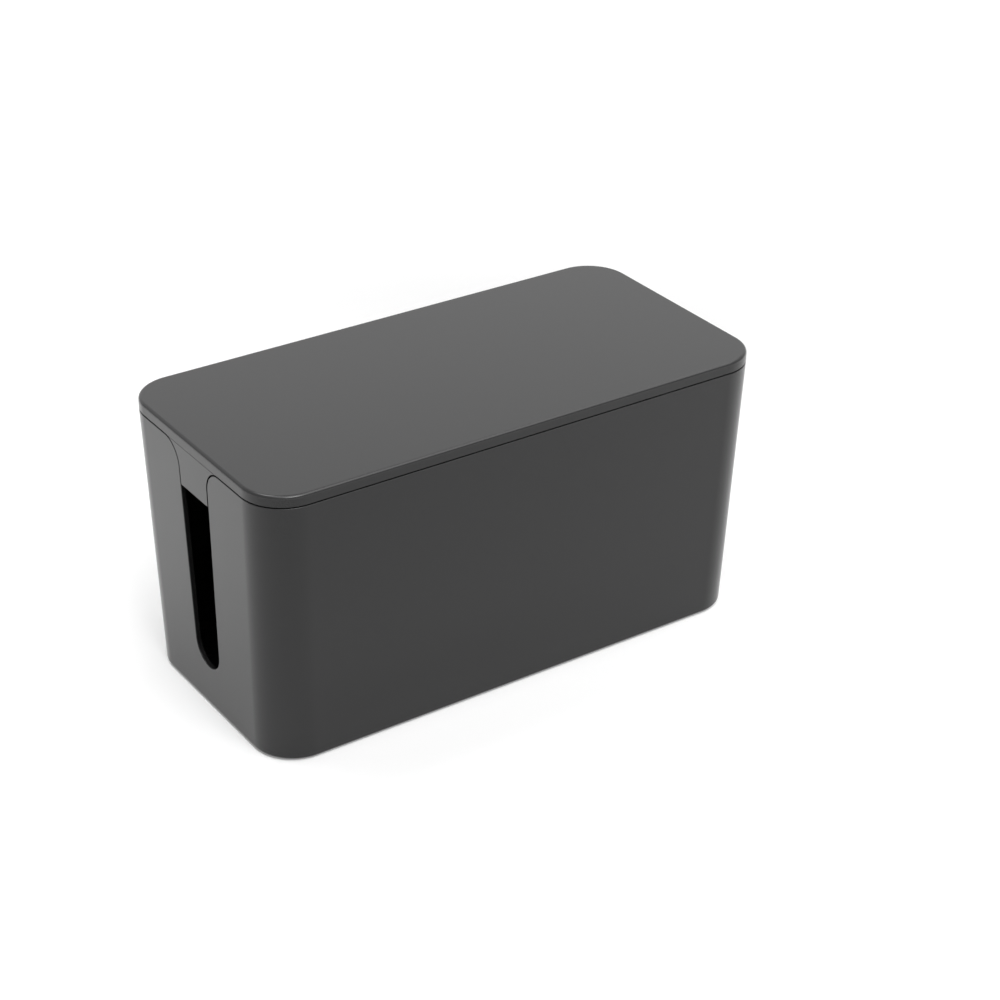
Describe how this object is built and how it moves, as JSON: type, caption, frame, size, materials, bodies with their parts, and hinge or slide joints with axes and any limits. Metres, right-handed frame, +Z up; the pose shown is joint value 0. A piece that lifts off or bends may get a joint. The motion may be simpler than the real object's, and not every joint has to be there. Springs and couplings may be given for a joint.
{
  "type": "cable management box",
  "caption": "Desk box that hides a power strip: drafted open tub with a cable slot in each end, loose lid with end tabs, and stick-on rubber feet.",
  "frame": {"origin": "under the middle of the box, on the surface that its feet stand on", "axes": "+X along the box towards its right end, +Y across it away from the front long wall, +Z up out of the lid"},
  "size_m": [0.235, 0.115, 0.1214],
  "materials": {
    "shell_plastic": "satin moulded, very fine even texture",
    "foot_rubber": "matt"
  },
  "bodies": {
    "base": {"tub": "shell_plastic", "foot_front_left": "foot_rubber", "foot_front_right": "foot_rubber", "foot_rear_left": "foot_rubber", "foot_rear_right": "foot_rubber"},
    "lid": {"lid": "shell_plastic"}
  },
  "joints": [
    {"name": "lid_lift", "type": "slide", "parent": "base", "child": "lid", "axis": [0, 0, 1], "range_m": [0, 0.15]}
  ]
}
